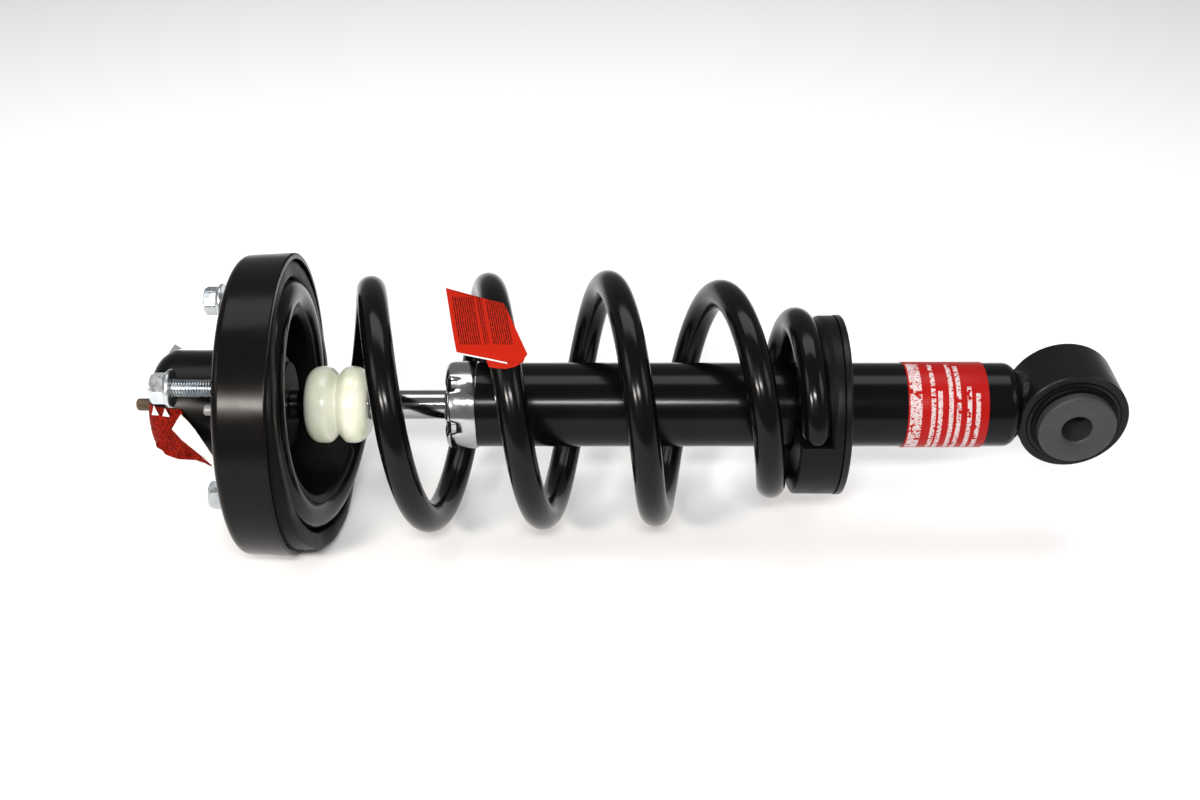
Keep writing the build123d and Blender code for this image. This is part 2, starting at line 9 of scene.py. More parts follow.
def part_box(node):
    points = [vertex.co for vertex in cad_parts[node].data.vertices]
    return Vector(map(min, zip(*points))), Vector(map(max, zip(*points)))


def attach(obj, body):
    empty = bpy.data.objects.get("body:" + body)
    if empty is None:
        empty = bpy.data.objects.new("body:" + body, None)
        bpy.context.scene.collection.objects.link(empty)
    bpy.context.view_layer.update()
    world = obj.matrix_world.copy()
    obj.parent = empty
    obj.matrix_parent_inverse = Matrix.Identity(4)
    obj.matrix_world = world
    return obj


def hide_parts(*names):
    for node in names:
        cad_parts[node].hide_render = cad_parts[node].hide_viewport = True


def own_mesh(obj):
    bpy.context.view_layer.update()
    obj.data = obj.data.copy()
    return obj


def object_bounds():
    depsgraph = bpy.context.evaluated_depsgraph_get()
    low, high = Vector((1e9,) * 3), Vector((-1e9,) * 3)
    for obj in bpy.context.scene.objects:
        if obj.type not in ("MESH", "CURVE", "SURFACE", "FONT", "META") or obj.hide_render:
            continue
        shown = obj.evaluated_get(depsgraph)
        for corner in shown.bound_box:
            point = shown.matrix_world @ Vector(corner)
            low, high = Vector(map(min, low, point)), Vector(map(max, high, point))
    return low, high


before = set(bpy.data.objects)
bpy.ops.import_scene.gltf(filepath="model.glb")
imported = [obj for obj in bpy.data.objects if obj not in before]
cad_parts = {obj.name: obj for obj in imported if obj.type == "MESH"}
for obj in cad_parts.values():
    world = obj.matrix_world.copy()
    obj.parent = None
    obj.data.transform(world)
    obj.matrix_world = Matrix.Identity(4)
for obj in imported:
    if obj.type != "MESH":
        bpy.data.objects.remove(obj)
cad_low, cad_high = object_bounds()

MM = 0.001
TAU = 2 * math.pi


def cos(degrees):
    return math.cos(math.radians(degrees))


def sin(degrees):
    return math.sin(math.radians(degrees))


def node_mm(node):
    """A CAD node's lowest and highest corners in millimetres."""
    low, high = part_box(node)
    return low / MM, high / MM


def around(radius, degrees):
    """The (Y, Z) at this radius and angle round the strut, from -Y towards +Z."""
    return -radius * cos(degrees), radius * sin(degrees)


# ------------------------------------------------------------------ materials
def material(name, color, roughness, metallic=0.0, coat=0.0, specular=0.5, coat_roughness=0.05):
    made = bpy.data.materials.new(name)
    made.use_nodes = True
    shader = made.node_tree.nodes["Principled BSDF"]
    shader.inputs["Base Color"].default_value = (*color, 1)
    shader.inputs["Roughness"].default_value = roughness
    shader.inputs["Metallic"].default_value = metallic
    shader.inputs["Coat Weight"].default_value = coat
    shader.inputs["Coat Roughness"].default_value = coat_roughness
    shader.inputs["Specular IOR Level"].default_value = specular
    return made


def add_node(made, kind, **values):
    node = made.node_tree.nodes.new(kind)
    for key, value in values.items():
        if key in node.inputs:
            node.inputs[key].default_value = value
        else:
            setattr(node, key, value)
    return node


def link(made, source, target):
    made.node_tree.links.new(source, target)


def shader_of(made):
    return made.node_tree.nodes["Principled BSDF"]


def object_noise(made, scale, detail=4.0, stretch=(1, 1, 1)):
    """Noise in object coordinates, in metres, stretched along an axis by a small factor."""
    coords = add_node(made, "ShaderNodeTexCoord")
    mapping = add_node(made, "ShaderNodeMapping")
    mapping.inputs["Scale"].default_value = stretch
    texture = add_node(made, "ShaderNodeTexNoise", Scale=scale, Detail=detail)
    link(made, coords.outputs["Object"], mapping.inputs["Vector"])
    link(made, mapping.outputs["Vector"], texture.inputs["Vector"])
    return texture.outputs["Fac"]


def ranged(made, value, low, high, from_low=0.3, from_high=0.7):
    node = add_node(made, "ShaderNodeMapRange")
    node.inputs["From Min"].default_value = from_low
    node.inputs["From Max"].default_value = from_high
    node.inputs["To Min"].default_value = low
    node.inputs["To Max"].default_value = high
    link(made, value, node.inputs["Value"])
    return node.outputs["Result"]


def rough_noise(made, low, high, scale=60.0, stretch=(1, 1, 1)):
    fac = object_noise(made, scale, stretch=stretch)
    link(made, ranged(made, fac, low, high), shader_of(made).inputs["Roughness"])
    return made


def bumpy(made, scale, strength, distance=0.0003, stretch=(1, 1, 1), detail=4.0):
    bump = add_node(made, "ShaderNodeBump", Strength=strength, Distance=distance)
    link(made, object_noise(made, scale, detail, stretch), bump.inputs["Height"])
    link(made, bump.outputs["Normal"], shader_of(made).inputs["Normal"])
    return made


def two_tone(made, first, second, scale, low=0.4, high=0.6, stretch=(1, 1, 1)):
    """Base colour that drifts between two colours."""
    mix = add_node(made, "ShaderNodeMix", data_type="RGBA")
    mix.inputs["A"].default_value = (*first, 1)
    mix.inputs["B"].default_value = (*second, 1)
    fac = ranged(made, object_noise(made, scale, stretch=stretch), 0.0, 1.0, low, high)
    link(made, fac, mix.inputs["Factor"])
    link(made, mix.outputs["Result"], shader_of(made).inputs["Base Color"])
    return made


satin_black = bumpy(
    rough_noise(
        material("satin_black", (0.0034, 0.003, 0.0027), 0.21, specular=0.085), 0.18, 0.25
    ),
    900, 0.03,
)
mount_dark = rough_noise(
    material("dome_black", (0.0026, 0.0024, 0.0023), 0.24, specular=0.09), 0.22, 0.32
)
coil_gloss = bumpy(
    rough_noise(material("coil_gloss", (0.0018, 0.0018, 0.002), 0.17, specular=0.15), 0.13, 0.22),
    220, 0.06, 0.0005,
)
tube_gloss = bumpy(
    rough_noise(
        material("tube_gloss", (0.002, 0.002, 0.0022), 0.16, specular=0.13),
        0.13, 0.21, 40, (0.05, 1, 1),
    ),
    700, 0.05, 0.0003, (0.03, 1, 1),
)
eye_black = bumpy(
    rough_noise(material("eye_black", (0.0036, 0.0036, 0.004), 0.32, specular=0.15), 0.27, 0.38),
    500, 0.05,
)
rubber = bumpy(
    rough_noise(material("rubber", (0.002, 0.002, 0.0021), 0.33, specular=0.06), 0.34, 0.48),
    800, 0.08,
)
seat_rubber = bumpy(
    rough_noise(
        material("seat_rubber", (0.0036, 0.0036, 0.0042), 0.33, specular=0.085), 0.3, 0.42
    ),
    800, 0.06,
)
zinc = bumpy(
    rough_noise(two_tone(
        material("zinc", (0.45, 0.5, 0.53), 0.26, 1.0), (0.40, 0.45, 0.49), (0.55, 0.57, 0.58), 90
    ), 0.22, 0.38, 300),
    1500, 0.05,
)
brassy = bumpy(material("tip_brassy", (0.20, 0.155, 0.11), 0.45, 0.85), 1500, 0.1)
chrome = rough_noise(
    material("chrome", (0.27, 0.275, 0.285), 0.1, 1.0), 0.07, 0.13, 50, (0.1, 1, 1)
)
cap_chrome = bumpy(
    rough_noise(material("cap_chrome", (0.36, 0.365, 0.375), 0.12, 1.0), 0.09, 0.2, 120),
    160, 0.12, 0.0006,
)
urethane = two_tone(
    material("urethane", (0.62, 0.64, 0.50), 0.24, coat=0.3), (0.58, 0.61, 0.46),
    (0.68, 0.69, 0.57), 45,
)
shader_of(urethane).inputs["Subsurface Weight"].default_value = 0.25
shader_of(urethane).inputs["Subsurface Radius"].default_value = (0.006, 0.005, 0.003)
steel = rough_noise(material("plain_steel", (0.5, 0.5, 0.51), 0.3, 1.0), 0.25, 0.4, 200)
iron = bumpy(material("sintered_iron", (0.2, 0.2, 0.2), 0.55, 0.9), 900, 0.2)
polymer = rough_noise(material("slide_polymer", (0.05, 0.07, 0.07), 0.5), 0.45, 0.55)
hub_grey = bumpy(
    rough_noise(
        material("hub_grey", (0.027, 0.027, 0.0278), 0.48, 0.1, specular=0.36), 0.42, 0.58, 150
    ),
    900, 0.12,
)
weld = bumpy(
    two_tone(
        material("weld_bead", (0.005, 0.005, 0.005), 0.3, 0.0, specular=0.12),
        (0.004, 0.004, 0.0045), (0.014, 0.014, 0.015), 400,
    ),
    600, 0.3, 0.0008,
)
tag_white = bumpy(material("tag_white", (0.62, 0.57, 0.56), 0.6, specular=0.1), 300, 0.1)


# ------------------------------------------------------------------ meshes
def finish_mesh(name, points, faces, body, slot, look, replaces=(), sharp=40.0):
    """Makes the mesh from millimetres and rides it on its body."""
    mesh = bpy.data.meshes.new(name)
    mesh.from_pydata([(x * MM, y * MM, z * MM) for x, y, z in points], [], faces)
    mesh.validate()
    mesh.update()
    made = bpy.data.objects.new(name, mesh)
    bpy.context.collection.objects.link(made)
    fix_normals(mesh)
    mesh.shade_smooth()
    mesh.set_sharp_from_angle(angle=math.radians(sharp))
    mesh.materials.append(look)
    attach(made, body)
    if replaces:
        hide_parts(*replaces)
    return made


def fix_normals(mesh):
    work = bmesh.new()
    work.from_mesh(mesh)
    bmesh.ops.remove_doubles(work, verts=work.verts, dist=1e-6)
    bmesh.ops.recalc_face_normals(work, faces=work.faces)
    work.to_mesh(mesh)
    work.free()


def skin(rows, closed_rows=True, closed_ends=False, caps=True):
    """Quads between successive rows of points. Rows may be rings; the ends may be capped."""
    count = len(rows[0])
    points = [p for row in rows for p in row]
    faces = []
    spans = len(rows) if closed_ends else len(rows) - 1
    steps = count if closed_rows else count - 1
    for i in range(spans):
        j = (i + 1) % len(rows)
        for a in range(steps):
            b = (a + 1) % count
            faces.append((i * count + a, i * count + b, j * count + b, j * count + a))
    if caps and not closed_ends and closed_rows:
        for i in (0, len(rows) - 1):
            middle = [sum(c) / count for c in zip(*rows[i])]
            points.append(tuple(middle))
            centre = len(points) - 1
            for a in range(count):
                faces.append((i * count + a, i * count + (a + 1) % count, centre))
    return points, faces


def merge(parts):
    """Several (points, faces) lists as one."""
    points, faces = [], []
    for more_points, more_faces in parts:
        base = len(points)
        points += more_points
        faces += [tuple(base + i for i in face) for face in more_faces]
    return points, faces


def rounded(corners, steps=5):
    """A closed outline of (x, r, fillet) corners as points, each corner rounded by its fillet."""
    out = []
    n = len(corners)
    for i, (x, r, fillet) in enumerate(corners):
        p = Vector((x, r))
        if fillet <= 0:
            out.append((x, r))
            continue
        before = Vector(corners[i - 1][:2]) - p
        after = Vector(corners[(i + 1) % n][:2]) - p
        angle = before.angle(after)
        cut = min(fillet / math.tan(angle / 2), before.length * 0.49, after.length * 0.49)
        first, last = p + before.normalized() * cut, p + after.normalized() * cut
        for s in range(steps + 1):
            t = s / steps
            q = first * (1 - t) ** 2 + p * 2 * t * (1 - t) + last * t * t
            out.append((q.x, q.y))
    return out


def lathe(outline, steps=96, origin=(0, 0, 0), axis="X"):
    """A closed (along, radius) outline turned round the X axis, or round Y through origin."""
    rows = []
    for along, radius in outline:
        row = []
        for k in range(steps):
            a = TAU * k / steps
            u, v = radius * math.cos(a), radius * math.sin(a)
            if axis == "X":
                row.append((origin[0] + along, origin[1] - u, origin[2] + v))
            else:
                row.append((origin[0] + u, origin[1] + along, origin[2] + v))
        rows.append(row)
    return skin(rows, closed_ends=True)


def smooth_curve(stations, samples):
    """Catmull-Rom points through (x, r) stations."""
    out = []
    for i in range(len(stations) - 1):
        p0 = Vector(stations[max(i - 1, 0)])
        p1, p2 = Vector(stations[i]), Vector(stations[i + 1])
        p3 = Vector(stations[min(i + 2, len(stations) - 1)])
        for s in range(samples):
            t = s / samples
            q = 0.5 * (
                2 * p1 + (p2 - p0) * t + (2 * p0 - 5 * p1 + 4 * p2 - p3) * t * t
                + (3 * p1 - p0 - 3 * p2 + p3) * t ** 3
            )
            out.append((q.x, q.y))
    out.append(tuple(stations[-1]))
    return out


def within(made, value, low, high):
    """1 where the value lies between low and high, else 0."""
    above = add_node(made, "ShaderNodeMath", operation="GREATER_THAN")
    below = add_node(made, "ShaderNodeMath", operation="LESS_THAN")
    link(made, value, above.inputs[0])
    link(made, value, below.inputs[0])
    above.inputs[1].default_value = low
    below.inputs[1].default_value = high
    return times(made, above.outputs["Value"], below.outputs["Value"])


def times(made, first, second):
    node = add_node(made, "ShaderNodeMath", operation="MULTIPLY")
    link(made, first, node.inputs[0])
    link(made, second, node.inputs[1])
    return node.outputs["Value"]


def either(made, first, second):
    node = add_node(made, "ShaderNodeMath", operation="MAXIMUM")
    link(made, first, node.inputs[0])
    link(made, second, node.inputs[1])
    return node.outputs["Value"]


def ink_mix(made, base, ink, share):
    mix = add_node(made, "ShaderNodeMix", data_type="RGBA")
    mix.inputs["A"].default_value = (*base, 1)
    mix.inputs["B"].default_value = (*ink, 1)
    link(made, share, mix.inputs["Factor"])
    link(made, mix.outputs["Result"], shader_of(made).inputs["Base Color"])
    return made


def bar_material(name, base, ink, rows, columns):
    """Film in one colour with plain pale bars: rows = (x from, x to) bars in metres along X,
    columns = the angles in degrees between which each bar runs."""
    made = material(name, base, 0.34, specular=0.1)
    coords = add_node(made, "ShaderNodeTexCoord")
    split = add_node(made, "ShaderNodeSeparateXYZ")
    link(made, coords.outputs["Object"], split.inputs["Vector"])
    turn = add_node(made, "ShaderNodeMath", operation="ARCTAN2")
    link(made, split.outputs["Z"], turn.inputs[0])
    back = add_node(made, "ShaderNodeMath", operation="MULTIPLY")
    link(made, split.outputs["Y"], back.inputs[0])
    back.inputs[1].default_value = -1.0
    link(made, back.outputs["Value"], turn.inputs[1])

    total = None
    for (x0, x1), (a0, a1) in zip(rows, columns):
        bar = times(made, within(made, split.outputs["X"], x0 * MM, x1 * MM),
                    within(made, turn.outputs["Value"], math.radians(a0), math.radians(a1)))
        total = bar if total is None else either(made, total, bar)
    # breaks: a coarse noise leaves gaps along each bar and a fine one ragged edges
    gaps = ranged(made, object_noise(made, 330, 1.0, (0.7, 1, 1)), 0.0, 1.0, 0.36, 0.40)
    marks = ranged(made, object_noise(made, 1500, 1.0, (0.5, 1, 1)), 0.0, 1.0, 0.36, 0.46)
    return ink_mix(made, base, ink, times(made, times(made, total, gaps), marks))


# painted shade: the zinc lower washer is given this near-black colour to stand in for the shade
# deep inside the mount's cup
washer_painted_shade = material("washer_painted_shade", (0.0015, 0.0015, 0.0016), 0.45, specular=0.04)

# ------------------------------------------------------------------ CAD nodes that stay
NODE_LOOKS = {
    "mount_shell": satin_black, "mount_dome": mount_dark, "core_plate": mount_dark,
    "lower_washer": washer_painted_shade, "upper_washer": zinc, "core_sleeve": steel, "rod_nut": zinc,
    "piston_nut": zinc, "upper_cushion": rubber, "lower_cushion": rubber, "rod_seal": rubber,
    "outer_tube": tube_gloss, "base_cap": tube_gloss, "lower_spring_seat": eye_black,
    "lower_eye": eye_black, "inner_tube": steel, "bushing_shell": eye_black, "piston": iron,
    "rod_guide": iron, "foot_valve": iron, "piston_band": polymer, "rebound_stop": polymer,
    "locating_pin": iron,
}
for node, look in NODE_LOOKS.items():
    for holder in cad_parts[node].material_slots:
        holder.material = look

# ------------------------------------------------------------------ spring
WIRE_R = 8.8
TURN_ZERO_ANGLE = 125.0
COIL_TURNS = (
    -0.25, 0.15, 0.3, 0.41, 0.5, 0.694, 1.0, 1.25, 1.5, 1.75, 2.0, 2.25,
    2.5, 2.75, 3.0, 3.25, 3.5, 3.75, 4.0, 4.25, 4.5, 4.75, 5.0, 5.32,
)
COIL_X = (
    25.0, 26.0, 28.0, 32.5, 39.0, 52.0, 74.3, 93.7, 111.2, 128.4, 144.8, 164.4,
    179.3, 195.8, 216.8, 236.8, 246.3, 261.8, 285.3, 307.5, 316.5, 323.0, 330.3, 338.0,
)
COIL_RADII = (
    66.8, 66.8, 66.8, 66.8, 66.9, 67.4, 69.4, 68.6, 68.4, 68.8, 71.6, 68.9,
    66.0, 68.8, 73.6, 68.8, 63.8, 67.0, 68.2, 59.0, 45.3, 46.5, 51.0, 47.5,
)
COIL_BLEND = 0.12
BLEND_SAMPLES = 13


def at_turn(values, turn):
    """A value at a turn: straight between the stations, averaged over COIL_BLEND each way."""
    total = 0.0
    for k in range(BLEND_SAMPLES):
        t = turn + COIL_BLEND * (2 * k / (BLEND_SAMPLES - 1) - 1)
        for i in range(len(values) - 1):
            if t <= COIL_TURNS[i + 1]:
                break
        t0, t1, v0, v1 = COIL_TURNS[i], COIL_TURNS[i + 1], values[i], values[i + 1]
        total += v0 + (v1 - v0) * (t - t0) / (t1 - t0)
    return total / BLEND_SAMPLES


def coil_x(turn):
    return at_turn(COIL_X, turn)


def coil_radius(turn):
    return at_turn(COIL_RADII, turn)


def coil_angle(turn):
    return TURN_ZERO_ANGLE - 360 * turn


def coil_point(turn):
    return Vector((coil_x(turn), *around(coil_radius(turn), coil_angle(turn))))


TIP_SHARES = ((0.0, 0.8), (4.1, 0.94), (8.3, 0.99), (12.4, 1.0))


def tip_share(distance):
    """The wire's size close to its lower end, which is rounded like a fingertip."""
    for (d0, s0), (d1, s1) in zip(TIP_SHARES, TIP_SHARES[1:]):
        if distance <= d1:
            return s0 + (s1 - s0) * (distance - d0) / (d1 - d0)
    return 1.0


def wire_rows(first, last, per_turn, sides, radius):
    """Rings round the wire's path, with the sawn ends bevelled."""
    steps = round((last - first) * per_turn)
    turns = [first + (last - first) * k / steps for k in range(steps + 1)]
    rows = []
    for turn in turns:
        here = coil_point(turn)
        size = radius * tip_share((here - coil_point(last)).length)
        along = (coil_point(turn + 0.003) - coil_point(turn - 0.003)).normalized()
        out = Vector((0, here.y, here.z)).normalized()
        side = along.cross(out).normalized()
        out = side.cross(along)
        rows.append([
            tuple(here + (out * math.cos(TAU * k / sides) + side * math.sin(TAU * k / sides))
                  * size) for k in range(sides)
        ])

    def end_rings(row, away):
        centre = Vector([sum(c) / sides for c in zip(*row)])
        return [
            [tuple(centre + (Vector(p) - centre) * share + away * push) for p in row]
            for share, push in ((0.97, 0.0), (0.86, 0.9))
        ]

    start_away = (coil_point(first) - coil_point(first + 0.003)).normalized()
    end_away = (coil_point(last) - coil_point(last - 0.003)).normalized()
    first_two = end_rings(rows[0], start_away)
    last_two = end_rings(rows[-1], end_away)
    return [first_two[1], first_two[0], *rows[1:-1], last_two[0], last_two[1]]


spring_points, spring_faces = skin(wire_rows(COIL_TURNS[0], COIL_TURNS[-1], 72, 28, WIRE_R))
spring = finish_mesh(
    "spring_wire", spring_points, spring_faces, "upper_assembly", "coil_black", coil_gloss,
    ["coil_spring"],
)

# The rubber seats are held at the cup at the top end and at the seat plate at the low end;
# squash_along gives each piece its own copy of its mesh and squashes nothing.
UPPER_HELD = node_mm("upper_isolator")[0].x
LOWER_HELD = node_mm("lower_isolator")[1].x


def squash_along(piece):
    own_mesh(piece)


squash_along(spring)

# ------------------------------------------------------------------ rubber seats
CRADLE_R = WIRE_R + 0.15


def smoothstep(t):
    t = min(max(t, 0.0), 1.0)
    return t * t * (3 - 2 * t)


LIP_OUTER_R, LIP_INNER_R = 87.4, 77.2
COLLAR_INNER_R = 54.0
SEAT_LEAVES = 0.66  # the turn at which the wire leaves the upper seat
FIRST_TURN = COIL_TURNS[0]
STEP_TURNS = 0.09  # the seat steps back down to its start over this share of a turn
# the lip's height round the cup, as (turn, X)
LIP_STATIONS = (
    (-0.25, 33.0), (-0.194, 33.0), (-0.139, 31.0), (0.0, 29.0), (0.125, 30.5), (0.25, 34.0),
    (0.375, 38.5), (0.5, 44.2), (0.556, 49.5), (0.6, 52.0), (0.66, 53.0), (0.70, 51.0),
    (0.735, 36.0), (0.75, 33.0),
)
COLLAR_RISE = 5.4  # how far the collar hugs the wire past its centre


def station_value(stations, turn):
    for (t0, x0), (t1, x1) in zip(stations, stations[1:]):
        if turn <= t1:
            return x0 + (x1 - x0) * smoothstep((turn - t0) / (t1 - t0)) * 0.5 + (
                (x1 - x0) * min(max((turn - t0) / (t1 - t0), 0.0), 1.0) * 0.5
            )
    return stations[-1][1]


def upper_groove_x(turn):
    """The X that the groove's arc is centred on: it follows the wire, then steps back down."""
    if turn <= SEAT_LEAVES:
        return coil_x(turn)
    return coil_x(SEAT_LEAVES) + (coil_x(FIRST_TURN) - coil_x(SEAT_LEAVES)) * smoothstep(
        (turn - SEAT_LEAVES) / STEP_TURNS
    )


upper_rows = []
UPPER_STEPS = 240
for k in range(UPPER_STEPS):
    turn = FIRST_TURN + k / UPPER_STEPS
    angle = coil_angle(turn)
    centre = upper_groove_x(turn)
    middle_r = coil_radius(min(turn, SEAT_LEAVES))
    lip = station_value(LIP_STATIONS, turn)
    reach = math.asin(COLLAR_RISE / CRADLE_R)
    start = -math.pi / 2 - reach
    edge_x = centre - CRADLE_R * math.cos(start)
    edge_r = middle_r + CRADLE_R * math.sin(start)
    outline = [
        (UPPER_HELD, COLLAR_INNER_R), (edge_x - 3.0, COLLAR_INNER_R),
        (edge_x - 0.8, COLLAR_INNER_R + 0.9), (edge_x + 0.3, COLLAR_INNER_R + 2.8),
        (edge_x + 0.6, edge_r - 2.2), (edge_x + 0.45, edge_r - 0.6),
    ]
    for s in range(17):
        phi = start + (math.pi / 2 - start) * s / 16
        outline.append((centre - CRADLE_R * math.cos(phi), middle_r + CRADLE_R * math.sin(phi)))
    wall_top = max(lip - 1.2, centre + 0.3)
    outline += [
        (wall_top, LIP_INNER_R), (wall_top + 0.7, LIP_INNER_R + 0.4),
        (wall_top + 1.2, LIP_INNER_R + 1.5), (wall_top + 1.2, LIP_OUTER_R - 2.4),
        (wall_top + 0.5, LIP_OUTER_R - 0.7), (wall_top - 1.2, LIP_OUTER_R),
        (UPPER_HELD, LIP_OUTER_R),
    ]
    upper_rows.append([(x, *around(r, angle)) for x, r in outline])
upper_seat = finish_mesh(
    "upper_rubber_seat", *skin(upper_rows, closed_ends=True), "upper_assembly", "rubber_black",
    rubber, ["upper_isolator"],
)
squash_along(upper_seat)

ISOLATOR_R = 53.6
SEAT_HUB_R = 28.2
STOP_FACE = 328.0  # the flat face that the wire's end stands over
STOP_FROM, STOP_SWEEP = 7.0, 85.0
LAST_TURN = COIL_TURNS[-1]


RAMP_MIDDLE, RAMP_SLOPE, RAMP_LOW_ANGLE = 342.6, 0.1, 35.0


def lower_wire(degrees):
    """The last turn's wire over this angle: (X, radius). Past the wire's end it stays level."""
    last = LAST_TURN + 0.05
    turn = ((TURN_ZERO_ANGLE - degrees) / 360 - (last - 1)) % 1.0 + last - 1
    return coil_x(min(turn, LAST_TURN)), coil_radius(turn)


lower_rows = []
RING_STEPS, BLOCK_STEPS, ACROSS_STEPS = 200, 40, 18
SEAM = 0.02
ring_angles = [
    (STOP_FROM + SEAM + (360 - STOP_SWEEP - 2 * SEAM) * k / RING_STEPS, False)
    for k in range(RING_STEPS + 1)
]
block_angles = [
    (STOP_FROM - STOP_SWEEP + STOP_SWEEP * k / BLOCK_STEPS, True)
    for k in range(BLOCK_STEPS + 1)
]
for angle, in_block in ring_angles + block_angles:
    wire_x, wire_r = lower_wire(angle)
    top = []
    for s in range(ACROSS_STEPS + 1):
        r = SEAT_HUB_R + (ISOLATOR_R - SEAT_HUB_R) * s / ACROSS_STEPS
        ramp = RAMP_MIDDLE + RAMP_SLOPE * r * cos(angle - RAMP_LOW_ANGLE)
        away = abs(r - wire_r)
        under = None
        if away < CRADLE_R:
            under = wire_x + math.sqrt(CRADLE_R ** 2 - away ** 2)
        inner = smoothstep((ISOLATOR_R - 1.0 - r) / 3.0)
        # the rubber swells up to meet the wire, but its outer wall stays at the ramp's height
        x = min(ramp, ramp + (wire_x + 4.0 - ramp) * inner)
        x = x if under is None else max(x, under)
        x = STOP_FACE if in_block else x
        edge = max(0.0, 1.0 - (ISOLATOR_R - r) / 1.2) if r > ISOLATOR_R - 1.2 else 0.0
        top.append((x + 0.9 * edge, r))
    wall = [(min(top[-1][0] + 0.9, LOWER_HELD - 3), ISOLATOR_R + 0.25),
            (LOWER_HELD - 1.0, ISOLATOR_R + 0.25), (LOWER_HELD, ISOLATOR_R - 0.6)]
    lower_rows.append([(x, *around(r, angle)) for x, r in
                       [(LOWER_HELD, SEAT_HUB_R), *top, *wall]])
lower_seat = finish_mesh(
    "lower_rubber_seat", *skin(lower_rows, closed_ends=True), "damper_body", "rubber_black",
    seat_rubber, ["lower_isolator"],
)
squash_along(lower_seat)

# ------------------------------------------------------------------ studs, nuts, rod tip
STUD_ANGLES = (42.0, 154.5, -94.5)
STUD_CIRCLE_R = 75.0
STUD_R = 5.0
stud_low, _ = node_mm("mount_studs")
nut_low, nut_high = node_mm("stud_nuts")


def thread(centre, start, end, radius, pitch, depth, sides=36, per_pitch=6):
    """A screw thread along X, its start chamfered, as one closed mesh."""
    rows = []
    steps = round((end - start) / pitch * per_pitch)
    for i in range(steps + 1):
        x = start + (end - start) * i / steps
        row = []
        for k in range(sides):
            wave = abs(((x / pitch + k / sides) % 1.0) * 2 - 1)
            r = radius - depth * wave
            r = min(r, radius - 1.1 + (x - start) * 0.9)
            a = TAU * k / sides
            row.append((x, centre[0] - r * math.cos(a), centre[1] + r * math.sin(a)))
        rows.append(row)
    return skin(rows)


def turned(centre, outline, steps=48):
    return lathe(outline, steps, (0, centre[0], centre[1]))


stud_parts = []
for degrees in STUD_ANGLES:
    centre = around(STUD_CIRCLE_R, degrees)
    stud_parts.append(thread(centre, stud_low.x, 0.5, STUD_R, 1.5, 0.75))
    head = rounded([(0.2, 0.01, 0), (0.2, STUD_R, 0), (3.5, STUD_R, 0), (3.5, 9, 0.2),
                    (8.5, 9, 0.8), (8.5, 0.01, 0)])
    stud_parts.append(turned(centre, head))
finish_mesh("threaded_studs", *merge(stud_parts), "upper_assembly", "zinc_steel", zinc,
            ["mount_studs"], sharp=30)

NUT_FLAT = 8.0
FLANGE_R = 10.8


def hex_radius(flat, degrees):
    return flat / cos((degrees + 30) % 60 - 30)


def flange_nut(centre, start, end, twist):
    """A hexagon nut with a dished flange at its high-X end, chamfered outer corners, a bore."""
    sides = 96
    corner = NUT_FLAT / cos(30)
    sections = [
        (start + 1.2, 5.0, False), (start + 0.1, 6.1, False), (start, 6.3, False),
        (start, 7.3, False), (start + 0.25, 7.9, True), (start + 1.0, corner - 0.35, True),
        (start + 1.9, corner + 1, True), (end - 3.6, corner + 1, True),
        (end - 3.3, 9.3, False), (end - 2.0, FLANGE_R - 0.5, False),
        (end - 1.6, FLANGE_R - 0.1, False), (end - 1.2, FLANGE_R, False),
        (end - 0.5, FLANGE_R, False), (end, FLANGE_R - 0.4, False), (end, 5.4, False),
        (end - 0.8, 4.7, False), (start + 1.9, 4.7, False),
    ]
    rows = []
    for x, radius, hexed in sections:
        row = []
        for k in range(sides):
            a = 360 * k / sides
            r = min(radius, hex_radius(NUT_FLAT, a + twist)) if hexed else radius
            row.append((x, centre[0] - r * cos(a), centre[1] + r * sin(a)))
        rows.append(row)
    return skin(rows, closed_ends=True)


nut_parts = [
    flange_nut(around(STUD_CIRCLE_R, degrees), nut_low.x, nut_high.x, twist)
    for degrees, twist in zip(STUD_ANGLES, (8, 20, 41))
]
finish_mesh("flange_nuts", *merge(nut_parts), "upper_assembly", "zinc_steel", zinc,
            ["stud_nuts"], sharp=28)

rod_low, rod_high = node_mm("piston_rod")
ROD_R = 8.75
SHANK_R = 6.0
TIP_R = 4.0
TIP_ROOT = -50.0
rod_outline = rounded([
    (TIP_ROOT, 0.01, 0), (TIP_ROOT, SHANK_R, 0.5), (26, SHANK_R, 0), (26, ROD_R, 0.8),
    (157, ROD_R, 0.5), (157, SHANK_R, 0), (rod_high.x, SHANK_R, 0.8), (rod_high.x, 0.01, 0),
])
finish_mesh("rod_ground", *lathe(rod_outline), "upper_assembly", "rod_chrome", chrome,
            ["piston_rod"])
finish_mesh("rod_tip_thread", *thread((0, 0), rod_low.x, TIP_ROOT + 1, TIP_R, 1.25, 0.6),
            "upper_assembly", "rod_chrome", brassy, sharp=30)

